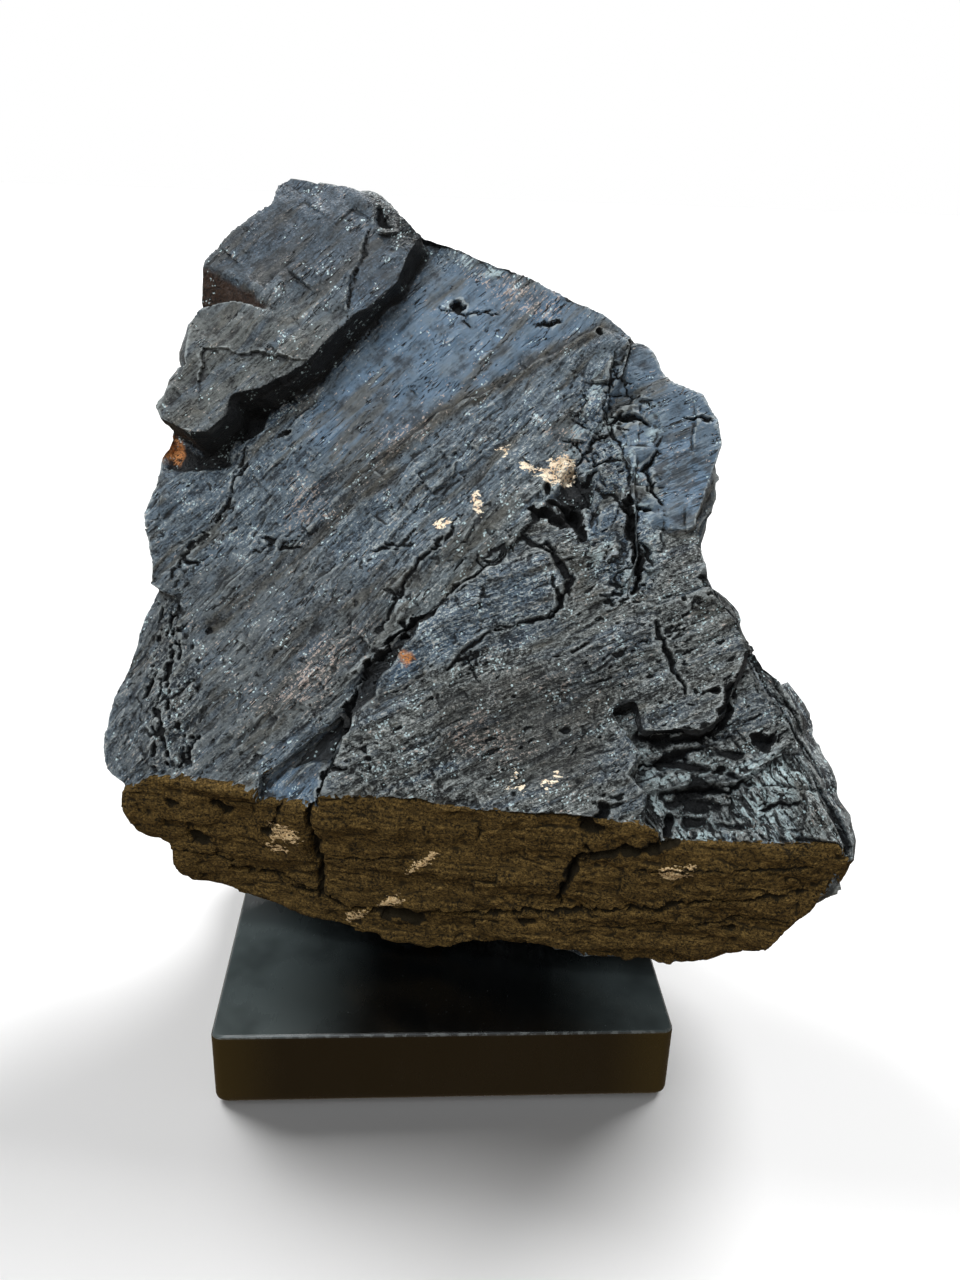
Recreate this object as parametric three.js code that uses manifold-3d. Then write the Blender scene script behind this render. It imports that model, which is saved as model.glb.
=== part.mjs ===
// A large piece of black tourmaline standing on a black painted wooden block.
// Millimetres, +Z up. The origin is the middle of the block's underside, and the viewer's side is -Y.

import * as THREE from "three";
import { mergeVertices } from "three/addons/utils/BufferGeometryUtils.js";
import Module from "manifold-3d";

const wasm = await Module();
wasm.setup();

// ---- Driving dimensions ----

const STAND = {
  width: 150, depth: 140, height: 28, corner: 3.5, footRound: 3, topRound: 1.2, cornerSteps: 5, edgeSteps: 4,
};

// The stone's broad face leans back. It starts at a level crease, and below the crease is its lower end.
const CREASE_HEIGHT = 99;
const CREASE_FRONT = -50; // Y of the crease above the middle of the stand
const CREASE_TURN = THREE.MathUtils.degToRad(10.8); // the crease's right end comes forward
const FACE_SLOPE = THREE.MathUtils.degToRad(57); // of the broad face, from level
const END_UNDERCUT = THREE.MathUtils.degToRad(13); // of the lower end, from upright
const STONE_DEPTH = 190; // the outline is carried back this far before the back is broken off
const FAR = 600; // larger than the stone

// The stone's outline on the broad face: u runs right along the crease and v runs up the face.
const RIGHT_SIDE = [
  [126, -3], [124, 5], [117, 19], [111, 36], [105, 46], [96, 55], [87, 69], [86, 75], [77, 82], [74, 91],
  [74, 110], [78, 129], [76, 138], [70, 146], [57, 155], [52, 162],
];
const TOP = [[44, 165], [37, 170], [20, 179], [5, 185], [-12, 190], [-27, 196]];
const TOP_BLOCK_OUTSIDE = [
  [-37, 200], [-44, 205], [-57, 210], [-77, 211], [-81, 207], [-82, 199], [-95, 187], [-102, 177],
  [-105, 168], [-101, 158], [-103, 153], [-101, 138], [-106, 130], [-109, 122],
];
const LEFT_SIDE = [
  [-110, 115], [-112, 110], [-112, 101], [-116, 90], [-112, 80], [-109, 67], [-113, 57], [-117, 39],
  [-120, 27], [-120, 9], [-117, 3],
];
const LOWER_END = [
  [-109, -2], [-110, -10], [-106, -16], [-96, -19], [-96, -28], [-91, -31], [-75, -33], [-54, -39], [-29, -42],
  [-19, -45], [-8, -46], [7, -42], [51, -39], [65, -37], [89, -39], [103, -34], [108, -28], [117, -18], [122, -8],
];

// The block standing proud at the top left, bounded inside by a cliff. Its top tilts up to the left.
const CLIFF = [
  [-107, 118], [-97, 114], [-91, 116], [-85, 122], [-85, 128], [-75, 131], [-63, 141], [-46, 162], [-35, 174],
  [-32, 185], [-28, 193],
];
const BLOCK_ROOT = -30;
const BLOCK_ABOVE = 40;

// Breaks in the broad face, in face coordinates. Inside its outline, each takes away all that lies
// above a plane, which is given by a point and a normal (u, v, w).
const BLOCK_BREAKS = [
  // The block's top.
  { outline: [[-140, 90], [-140, 230], [0, 230], [0, 90]], point: [-70, 160, 13], normal: [0.05, 0.05, 1] },
  // The scoop under the ledge at its left edge, which faces down the block.
  { outline: [[-125, 157], [-101, 158], [-95, 161.5], [-90, 162.5], [-72, 159], [-68, 161], [-84, 173],
      [-125, 195]],
    point: [-101, 176, 13.8], normal: [-0.36, -0.71, 1] },
];
const SLAB_BREAKS = [
  // The left bevel.
  { outline: [[-140, 78], [-99, 62], [-88, 4], [-88, -60], [-140, -60]],
    point: [-95, 40, 0], normal: [-0.5, 0.06, 1] },
  // The splintered right bevel.
  { outline: [[74, 84], [86, 67], [95, 48], [106, 36], [113, 18], [124, -4], [160, -4], [160, 84]],
    point: [104, 37, -5], normal: [0.7, 0.4, 1] },
  // The step down at the lower right.
  { outline: [[49, 36], [56, 40], [59, 31], [76, 33], [84, 40], [88, 58], [110, 70], [160, -4], [160, -60],
      [66, -60], [65, 1], [61, 6], [62, 12], [56, 16], [58, 23], [52, 28]],
    point: [70, 0, -4], normal: [-0.08, 0.12, 1] },
  // The lobe at the upper right, beyond the wide crack.
  { outline: [[46, 159], [44, 150], [38, 142], [40, 130], [49, 117], [50, 105], [53, 88], [51, 74], [60, 72],
      [78, 80], [140, 80], [140, 220], [50, 220]],
    point: [60, 120, -3.5], normal: [0.14, 0, 1] },
  // The notch in the crease, beside the long crack.
  { outline: [[-62, 6], [-50, 16], [-38, 28], [-38, 19], [-42, 1], [-42, -20], [-64, -20]],
    point: [-50, 10, -5], normal: [0, 0.1, 1] },
];

// Flat breaks that make the stone's back and underside, in the part's own frame.
const SEAT = { point: [0, 0, STAND.height], normal: [0, 0, -1] };
const BACK_AND_UNDERSIDE = [
  { point: [0, 96, 258], normal: [0.06, 0.99, -0.15] },
  { point: [0, 78, 130], normal: [-0.08, 0.94, -0.34] },
  { point: [-86, 62, 160], normal: [-0.64, 0.76, 0.08] },
  { point: [88, 52, 150], normal: [0.6, 0.79, 0.1] },
  { point: [60, 60, 70], normal: [0.5, 0.7, -0.5] },
  { point: [-62, 52, 70], normal: [-0.52, 0.62, -0.58] },
  { point: [-56, 0, 28], normal: [-0.55, 0, -0.83] },
  { point: [62, 0, 28], normal: [0.42, 0, -0.91] },
];

// ---- Frames ----

// Face coordinates: u along the crease, v up the broad face, w out of it.
const creaseDirection = new THREE.Vector3(Math.cos(CREASE_TURN), -Math.sin(CREASE_TURN), 0);
const forward = new THREE.Vector3(-Math.sin(CREASE_TURN), -Math.cos(CREASE_TURN), 0);
const upward = new THREE.Vector3(0, 0, 1);
const creaseMiddle = new THREE.Vector3(0, CREASE_FRONT, CREASE_HEIGHT);

// The direction that has this much of forward and this much of upward.
function mix(forwardShare, upwardShare) {
  return new THREE.Vector3().addScaledVector(forward, forwardShare).addScaledVector(upward, upwardShare);
}

const upFace = mix(-Math.cos(FACE_SLOPE), Math.sin(FACE_SLOPE));
const outOfFace = mix(Math.sin(FACE_SLOPE), Math.cos(FACE_SLOPE));
const outOfEnd = mix(Math.cos(END_UNDERCUT), -Math.sin(END_UNDERCUT));
const faceToPart = new THREE.Matrix4()
  .makeBasis(creaseDirection, upFace, outOfFace)
  .setPosition(creaseMiddle);

// ---- Solids ----

function toSolid(geometry) {
  const bare = geometry.clone();
  bare.deleteAttribute("normal");
  bare.deleteAttribute("uv");
  const merged = mergeVertices(bare, 1e-4);
  return new wasm.Manifold(new wasm.Mesh({
    numProp: 3,
    vertProperties: new Float32Array(merged.attributes.position.array),
    triVerts: new Uint32Array(merged.index.array),
  }));
}

function toGeometry(solid) {
  const mesh = solid.getMesh();
  const geometry = new THREE.BufferGeometry();
  geometry.setAttribute("position", new THREE.BufferAttribute(mesh.vertProperties, 3));
  geometry.setIndex(new THREE.BufferAttribute(mesh.triVerts, 1));
  geometry.computeVertexNormals();
  return geometry;
}

// A prism on an outline drawn on the broad face, from one level of w to another.
function prism(outline, bottom, top) {
  const shape = new THREE.Shape(outline.map(([u, v]) => new THREE.Vector2(u, v)));
  const geometry = new THREE.ExtrudeGeometry(shape, { depth: top - bottom, bevelEnabled: false });
  geometry.translate(0, 0, bottom);
  geometry.applyMatrix4(faceToPart);
  return toSolid(geometry);
}

// Everything on the outer side of a flat break.
function beyond(point, normal) {
  const geometry = new THREE.BoxGeometry(FAR, FAR, FAR);
  geometry.translate(0, 0, FAR / 2);
  const turn = new THREE.Quaternion().setFromUnitVectors(upward, normal.clone().normalize());
  geometry.applyQuaternion(turn);
  geometry.translate(point.x, point.y, point.z);
  return toSolid(geometry);
}

// Takes a break in the broad face out of a solid.
function breakFace(solid, { outline, point, normal }) {
  const placed = new THREE.Vector3(...point).applyMatrix4(faceToPart);
  const above = beyond(placed, new THREE.Vector3(...normal).transformDirection(faceToPart));
  return solid.subtract(above.intersect(prism(outline, -FAR, FAR)));
}

function makeStone() {
  const slab = prism([...RIGHT_SIDE, ...TOP, ...TOP_BLOCK_OUTSIDE, ...LEFT_SIDE, ...LOWER_END], -STONE_DEPTH, 0);
  const block = prism([...CLIFF, ...TOP_BLOCK_OUTSIDE], BLOCK_ROOT, BLOCK_ABOVE);
  let stone = SLAB_BREAKS.reduce(breakFace, slab).add(BLOCK_BREAKS.reduce(breakFace, block));
  stone = stone.subtract(beyond(creaseMiddle, outOfEnd));
  for (const { point, normal } of [...BACK_AND_UNDERSIDE, SEAT]) {
    stone = stone.subtract(beyond(new THREE.Vector3(...point), new THREE.Vector3(...normal)));
  }
  return toGeometry(stone);
}

// The level outline of the wooden block, drawn in from its widest by inset.
function standRing(inset, height) {
  const reachX = STAND.width / 2 - inset;
  const reachY = STAND.depth / 2 - inset;
  const radius = STAND.corner;
  const shape = new THREE.Shape();
  shape.absarc(reachX - radius, reachY - radius, radius, 0, Math.PI / 2);
  shape.absarc(-reachX + radius, reachY - radius, radius, Math.PI / 2, Math.PI);
  shape.absarc(-reachX + radius, -reachY + radius, radius, Math.PI, 1.5 * Math.PI);
  shape.absarc(reachX - radius, -reachY + radius, radius, 1.5 * Math.PI, 2 * Math.PI);
  return shape.getPoints(STAND.cornerSteps).map((point) => new THREE.Vector3(point.x, point.y, height));
}

// The block is level rings joined edge to edge: a quarter round at the foot and a finer one at the top.
function makeStand() {
  const { height, footRound, topRound, edgeSteps } = STAND;
  const rings = [];
  for (let step = 0; step <= edgeSteps; step += 1) {
    const angle = (step / edgeSteps) * (Math.PI / 2);
    rings.push(standRing(footRound * (1 - Math.sin(angle)), footRound * (1 - Math.cos(angle))));
  }
  for (let step = 0; step <= edgeSteps; step += 1) {
    const angle = (step / edgeSteps) * (Math.PI / 2);
    rings.push(standRing(topRound * (1 - Math.cos(angle)), height - topRound * (1 - Math.sin(angle))));
  }
  const count = rings[0].length;
  const points = rings.flat();
  const triangles = [];
  for (let ring = 0; ring < rings.length - 1; ring += 1) {
    for (let i = 0; i < count; i += 1) {
      const a = ring * count + i;
      const b = ring * count + ((i + 1) % count);
      triangles.push(a, b, b + count, a, b + count, a + count);
    }
  }
  const top = (rings.length - 1) * count;
  for (let i = 1; i < count - 1; i += 1) {
    triangles.push(0, i + 1, i);
    triangles.push(top, top + i, top + i + 1);
  }
  const geometry = new THREE.BufferGeometry().setFromPoints(points);
  geometry.setIndex(triangles);
  geometry.computeVertexNormals();
  return geometry;
}

const object = new THREE.Group();

const stone = new THREE.Mesh(
  makeStone(),
  new THREE.MeshStandardMaterial({ color: 0x2b3036, roughness: 0.5, metalness: 0 }),
);
stone.name = "tourmaline";
object.add(stone);

const stand = new THREE.Mesh(
  makeStand(),
  new THREE.MeshStandardMaterial({ color: 0x14140f, roughness: 0.35, metalness: 0 }),
);
stand.name = "stand_block";
object.add(stand);

export default object;
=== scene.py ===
import math

import bpy
import numpy as np
from mathutils import Matrix, Vector, kdtree


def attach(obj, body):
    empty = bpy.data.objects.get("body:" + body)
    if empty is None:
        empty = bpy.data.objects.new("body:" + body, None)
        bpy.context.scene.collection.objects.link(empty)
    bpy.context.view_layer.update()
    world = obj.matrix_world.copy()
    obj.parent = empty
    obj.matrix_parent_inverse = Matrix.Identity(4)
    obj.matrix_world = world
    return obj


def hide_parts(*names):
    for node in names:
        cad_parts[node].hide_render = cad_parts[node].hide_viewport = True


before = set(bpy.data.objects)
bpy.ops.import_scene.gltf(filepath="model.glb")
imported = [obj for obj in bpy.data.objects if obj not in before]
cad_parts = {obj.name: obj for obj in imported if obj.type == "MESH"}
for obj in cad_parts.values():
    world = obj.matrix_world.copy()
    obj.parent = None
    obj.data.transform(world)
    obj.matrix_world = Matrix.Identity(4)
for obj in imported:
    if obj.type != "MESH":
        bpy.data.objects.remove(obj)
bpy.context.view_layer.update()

# A large piece of black tourmaline on a black painted wooden block. Dimensions are in millimetres and
# turn into Blender's metres with MM. The stone's fine surface is carved on a copy of its CAD solid.
MM = 0.001

# ---- The camera, where the photograph was taken from ----

CAMERA_PLACE = (-11.8, -342.3, 278.5)
CAMERA_PITCH = math.radians(22.44)
CAMERA_YAW = math.radians(3.91)
CAMERA_ROLL = math.radians(2.0)
FOCAL_PIXELS = 1078
IMAGE_HEIGHT = 1280
SENSOR = 36

# ---- The stone's own frame: u right along the crease, v up the broad face, w out of it ----

CREASE_MIDDLE = np.array([0.0, -50.0, 99.0])
CREASE_TURN = math.radians(10.8)
FACE_SLOPE = math.radians(57)
END_UNDERCUT = math.radians(13)
STAND_TOP = 28.0

UPWARD = np.array([0.0, 0.0, 1.0])
ALONG_CREASE = np.array([math.cos(CREASE_TURN), -math.sin(CREASE_TURN), 0.0])
FORWARD = np.array([-math.sin(CREASE_TURN), -math.cos(CREASE_TURN), 0.0])
UP_FACE = -FORWARD * math.cos(FACE_SLOPE) + UPWARD * math.sin(FACE_SLOPE)
OUT_OF_FACE = FORWARD * math.sin(FACE_SLOPE) + UPWARD * math.cos(FACE_SLOPE)
FACE_AXES = np.array([ALONG_CREASE, UP_FACE, OUT_OF_FACE])
OUT_OF_END = FACE_AXES @ (FORWARD * math.cos(END_UNDERCUT) - UPWARD * math.sin(END_UNDERCUT))
DOWN_END = FACE_AXES @ (-FORWARD * math.sin(END_UNDERCUT) - UPWARD * math.cos(END_UNDERCUT))

# ---- How finely the stone is made ----

VOXEL = 0.65
FRONT_TRIANGLES = 150000
TRIANGLES = 196000
BACK_FACING = 0.4
STONE_SHARP_ANGLE = math.radians(38)
STAND_SHARP_ANGLE = math.radians(50)

# ---- Noise ----

LATTICE = 256
random = np.random.default_rng(7)
SHUFFLE = random.permutation(LATTICE)
LEVELS = random.random(LATTICE)
CORNERS = [(x, y, z) for x in (0, 1) for y in (0, 1) for z in (0, 1)]
NEIGHBOURS = [(x, y, z) for x in (-1, 0, 1) for y in (-1, 0, 1) for z in (-1, 0, 1)]
FACET_BULGE = 0.5


def scramble(x, y, z, seed):
    """A repeatable random index for each lattice cell."""
    mask = LATTICE - 1
    return SHUFFLE[(SHUFFLE[(SHUFFLE[(x + 31 * seed) & mask] + y) & mask] + z) & mask]


def noise(points, seed):
    """Smooth noise from -1 to 1, with features about one unit apart."""
    cell = np.floor(points).astype(np.int64)
    part = points - cell
    part = part * part * (3 - 2 * part)
    total = np.zeros(len(points))
    for corner in CORNERS:
        share = np.ones(len(points))
        for axis, step in enumerate(corner):
            share *= part[:, axis] if step else 1 - part[:, axis]
        x, y, z = (cell + corner).T
        total += share * LEVELS[scramble(x, y, z, seed)]
    return total * 2 - 1


def layered_noise(points, seed, gain=0.5):
    """Noise with a weaker layer of half its size on top."""
    return noise(points, seed) + gain * noise(points * 2, seed + 1)


def another(index, factor, start):
    """One more random number for each index."""
    return LEVELS[(index * factor + start) % LATTICE]


def cells(points, seed):
    """Random cells: the distances to the nearest and the next cell, and two random numbers a cell."""
    home = np.floor(points).astype(np.int64)
    first = np.full(len(points), np.inf)
    second = np.full(len(points), np.inf)
    chosen = np.zeros(len(points), dtype=np.int64)
    for step in NEIGHBOURS:
        x, y, z = (home + step).T
        index = scramble(x, y, z, seed)
        jitter = [LEVELS[index], LEVELS[SHUFFLE[index]], another(index, 7, 3)]
        middle = np.stack([x + jitter[0], y + jitter[1], z + jitter[2]], 1)
        distance = np.linalg.norm(points - middle, axis=1)
        nearer = distance < first
        second = np.where(nearer, first, np.minimum(second, distance))
        chosen = np.where(nearer, index, chosen)
        first = np.where(nearer, distance, first)
    return first, second, another(chosen, 13, 5), another(chosen, 29, 11)


def blocky(points, seed):
    """Flat random heights, one for each cell, from -0.5 to 0.5."""
    return cells(points, seed)[2] - 0.5


def facets(points, seed, tilt):
    """A surface of flat tilted facets, about one unit wide, that meet in creases: its height, and how far
    each point is from a crease."""
    home = np.floor(points).astype(np.int64)
    best = np.full(len(points), -np.inf)
    next_best = np.full(len(points), -np.inf)
    for step in NEIGHBOURS:
        x, y, z = (home + step).T
        index = scramble(x, y, z, seed)
        jitter = [another(index, factor, 3) for factor in (1, 7, 29)]
        slope = [tilt * (2 * another(index, factor, 5) - 1) for factor in (11, 37, 53)]
        offset = points - np.stack([x + jitter[0], y + jitter[1], z + jitter[2]], 1)
        height = (offset * np.stack(slope, 1)).sum(1) - FACET_BULGE * (offset * offset).sum(1)
        next_best = np.where(height > best, best, np.maximum(next_best, height))
        best = np.maximum(best, height)
    return best, best - next_best


def chipping(points, seed, tilt=1.3, usual=0.885):
    """How far a faceted surface stands above or below its usual height, which depends on the tilt."""
    return facets(points, seed, tilt)[0] - usual


def ease(value, low, high):
    """A smooth step from 0 at low to 1 at high."""
    share = np.clip((value - low) / (high - low), 0, 1)
    return share * share * (3 - 2 * share)


def terrace(height, step, riser):
    """Turns smooth heights into flat treads. The riser is the share of a tread that the slope takes."""
    level = height / step
    tread = np.floor(level)
    return step * (tread + ease(level - tread, 0.5 - riser / 2, 0.5 + riser / 2))


def turned(x, y, angle):
    """Coordinates along and across a direction."""
    return x * math.cos(angle) + y * math.sin(angle), -x * math.sin(angle) + y * math.cos(angle)


def line_field(x, y, points):
    """Distance from a broken line, which side of it (1 is left), and how far along, from 0 to 1."""
    points = np.array(points, float)
    reach = np.concatenate([[0], np.cumsum(np.linalg.norm(np.diff(points, axis=0), axis=1))])
    distance = np.full(x.shape, np.inf)
    side = np.zeros(x.shape)
    along = np.zeros(x.shape)
    for (ax, ay), (bx, by), start, end in zip(points[:-1], points[1:], reach[:-1], reach[1:]):
        dx, dy = bx - ax, by - ay
        share = np.clip(((x - ax) * dx + (y - ay) * dy) / (dx * dx + dy * dy), 0, 1)
        ox, oy = x - ax - share * dx, y - ay - share * dy
        here = np.hypot(ox, oy)
        nearer = here < distance
        distance = np.where(nearer, here, distance)
        side = np.where(nearer, np.sign(dx * oy - dy * ox), side)
        along = np.where(nearer, (start + share * (end - start)) / reach[-1], along)
    return distance, side, along


def inside(x, y, outline, soft):
    """1 inside an outline and 0 outside it, with an edge that is soft across."""
    distance, _, _ = line_field(x, y, [*outline, outline[0]])
    within = np.zeros(x.shape, dtype=bool)
    for (ax, ay), (bx, by) in zip(outline, [*outline[1:], outline[0]]):
        if ay != by:
            crossing = (ay > y) != (by > y)
            within ^= crossing & (x < (bx - ax) * (y - ay) / (by - ay) + ax)
    return ease(np.where(within, distance, -distance), -soft / 2, soft / 2)


# ---- What is on the broad face, in (u, v) ----

# Open cracks: the line, its half width and its depth.
FACE_CRACKS = [
    ([(-21, 172), (-10, 169), (0, 170)], 0.7, 1.0),
    ([(-5, 98), (-9, 90), (-13, 85), (-18, 81), (-21, 75), (-24, 68), (-27, 60), (-30, 56)], 0.8, 1.8),
    ([(-33, 83), (-30, 85), (-25, 86), (-21, 87)], 0.8, 1.6),
    ([(12, 87), (7, 82), (2, 78), (-4, 73), (-10, 67), (-12, 63)], 1.1, 2.4),
    ([(-12, 63), (-16, 60), (-20, 57), (-23, 55), (-27, 50), (-31, 45), (-33, 39), (-36, 32)], 1.7, 5.0),
    ([(-81, 114), (-83, 108), (-86, 100), (-90, 89), (-95, 82), (-99, 76), (-102, 69)], 0.7, 1.8),
    ([(-99, 76), (-96, 74), (-93, 75)], 0.9, 1.8),
    ([(-72, 86), (-69, 84), (-70, 81)], 0.9, 2.0),
    ([(-67, 80), (-64, 81), (-59, 82)], 0.8, 1.8),
    ([(16, 91), (23, 88), (28, 85), (32, 79), (31, 73), (29, 69), (24, 65), (17, 63)], 1.9, 3.6),
    ([(17, 63), (11, 61), (5, 57), (1, 53), (-4, 46)], 0.8, 1.8),
    ([(-6, 45), (-3, 47), (1, 49), (4, 45), (6, 43)], 0.7, 1.4),
    ([(2, 83), (5, 86), (10, 87), (5, 82), (2, 83)], 0.6, 1.0),
    ([(22, 104), (27, 102), (32, 98), (37, 92)], 2.6, 6.0),
    ([(18, 100), (24, 98), (28, 96)], 1.6, 5.0),
    ([(34, 112), (38, 116), (41, 117)], 1.4, 3.0),
    ([(48, 108), (50, 99), (52, 91), (54, 84), (53, 76)], 1.6, 7.0),
    ([(53, 93), (56, 91), (58, 86)], 1.2, 3.5),
    ([(42, 150), (39, 145), (37, 140), (40, 135), (41, 130), (44, 125), (47, 119), (48, 113),
      (49, 108)], 0.6, 1.4),
    ([(41, 130), (37, 129), (35, 124), (32, 121)], 0.7, 1.8),
    ([(35, 122), (38, 118), (42, 119), (45, 120)], 0.6, 1.5),
    ([(39, 112), (42, 108), (46, 106), (49, 102)], 0.6, 1.5),
    ([(56, 124), (53, 118), (55, 111), (59, 107)], 1.0, 2.5),
    ([(41, 134), (44, 136), (48, 136), (53, 134)], 1.6, 3.5),
    ([(65, 137), (69, 137), (73, 137)], 1.4, 3.0),
    ([(60, 67), (62, 61), (63, 56), (66, 51), (68, 48), (71, 45)], 1.4, 4.0),
    ([(76, 45), (79, 46), (81, 47)], 1.2, 2.5),
    ([(82, 35), (85, 41), (85, 47), (87, 53)], 2.2, 5.0),
    ([(97, 10), (102, 12), (108, 12)], 1.2, 2.5),
    ([(-35, 36), (-37, 28), (-38, 19), (-40, 11), (-42, 4), (-44, -4)], 1.5, 5.0),
]

# A crack deeper than this is open to the dark over its whole width.
WIDE_CRACK_DEPTH = 4.5

# Faults: the line, how far the ground drops on its right, and over what distance that fades.
FACE_FAULTS = [
    ([(12, 87), (7, 82), (2, 76), (-3, 73), (-10, 67), (-16, 60), (-22, 56), (-28, 51), (-32, 43), (-35, 35),
      (-37, 28)], 3.6, 16),
    ([(-38, 28), (-38, 19), (-40, 11), (-42, 4), (-44, -4)], -2.5, 10),
    ([(55, 160), (34, 167), (22, 159), (9, 149), (-10, 137), (-20, 129), (-29, 120), (-45, 105), (-51, 99),
      (-58, 90), (-68, 71), (-84, 53)], 1.5, 26),
    ([(57, 20), (63, 23), (69, 26), (77, 29), (83, 31)], 3.0, 9),
    ([(67, 13), (73, 15), (79, 16), (86, 16), (93, 21)], 3.0, 9),
    ([(56, 100), (62, 98), (68, 99), (76, 104)], 1.2, 8),
]

# Gaps under the ledges: the line, its half width and its depth.
LEDGE_GAPS = [
    ([(58, 30), (62, 29), (70, 30), (77, 31), (84, 37)], 2.0, 5.0),
    ([(57, 20), (63, 22), (69, 25), (77, 28)], 1.6, 4.0),
    ([(67, 12), (73, 14), (79, 15), (86, 15), (93, 20)], 1.8, 4.5),
    ([(94, 33), (98, 31), (102, 33)], 2.6, 6.0),
]

# Pits: the middle, the half length, the half width, the turn in degrees and the depth.
FACE_PITS = [
    (-15, 173, 4.2, 1.8, -15, 4.5),
    (17, 168, 4.0, 1.0, 10, 2.5),
    (35, 165, 1.6, 1.4, 0, 2.5),
    (21, 109, 1.6, 2.0, 0, 3.5),
    (34, 29, 1.6, 1.2, 30, 2.0),
    (84, 22, 2.6, 1.8, 20, 3.5),
    (47, 4, 4.0, 2.2, 60, 5.0),
    (69, 2, 2.0, 4.5, 0, 5.0),
    (79, 46, 2.0, 1.2, 10, 2.0),
    (-69, 122, 2.5, 1.0, 30, 2.0),
    (-86, 51, 1.4, 1.0, 0, 1.5),
]

# Brown bands along the grain: the line, its half width and its strength.
BROWN_BANDS = [
    ([(36, 166), (22, 159), (9, 149), (-1, 143), (-10, 137), (-20, 129), (-29, 120), (-45, 105)], 3.2, 1.0),
    ([(-31, 109), (-44, 100), (-50, 91), (-59, 82), (-68, 71), (-74, 65), (-84, 53)], 3.4, 0.9),
    ([(-20, 75), (-41, 65), (-49, 59), (-55, 51), (-62, 45)], 3.5, 0.8),
    ([(-25, 60), (-40, 48), (-62, 33), (-84, 22)], 6.0, 0.6),
]

# The foot of the cliff below the raised block, the line where the grain turns, and the step at the right.
CLIFF = [(-107, 118), (-97, 114), (-91, 116), (-85, 122), (-85, 128), (-75, 131), (-63, 141), (-46, 162),
         (-35, 174), (-32, 185), (-28, 193)]
SHEAR_LINE = [(-46, -20), (-38, 19), (-33, 43), (-10, 67), (12, 87), (33, 121), (44, 150), (48, 190)]
STEP_EDGE = [(49, 36), (56, 40), (59, 31), (76, 33), (84, 40), (88, 58)]

FIBRE_ZONE = [(62, 12), (80, 17), (92, 20), (108, 30), (126, 0), (120, -12), (76, -12), (60, 2)]
BEVEL_ZONE = [(74, 84), (86, 67), (95, 48), (106, 36), (113, 18), (124, -4), (140, -4), (140, 84)]

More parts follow.
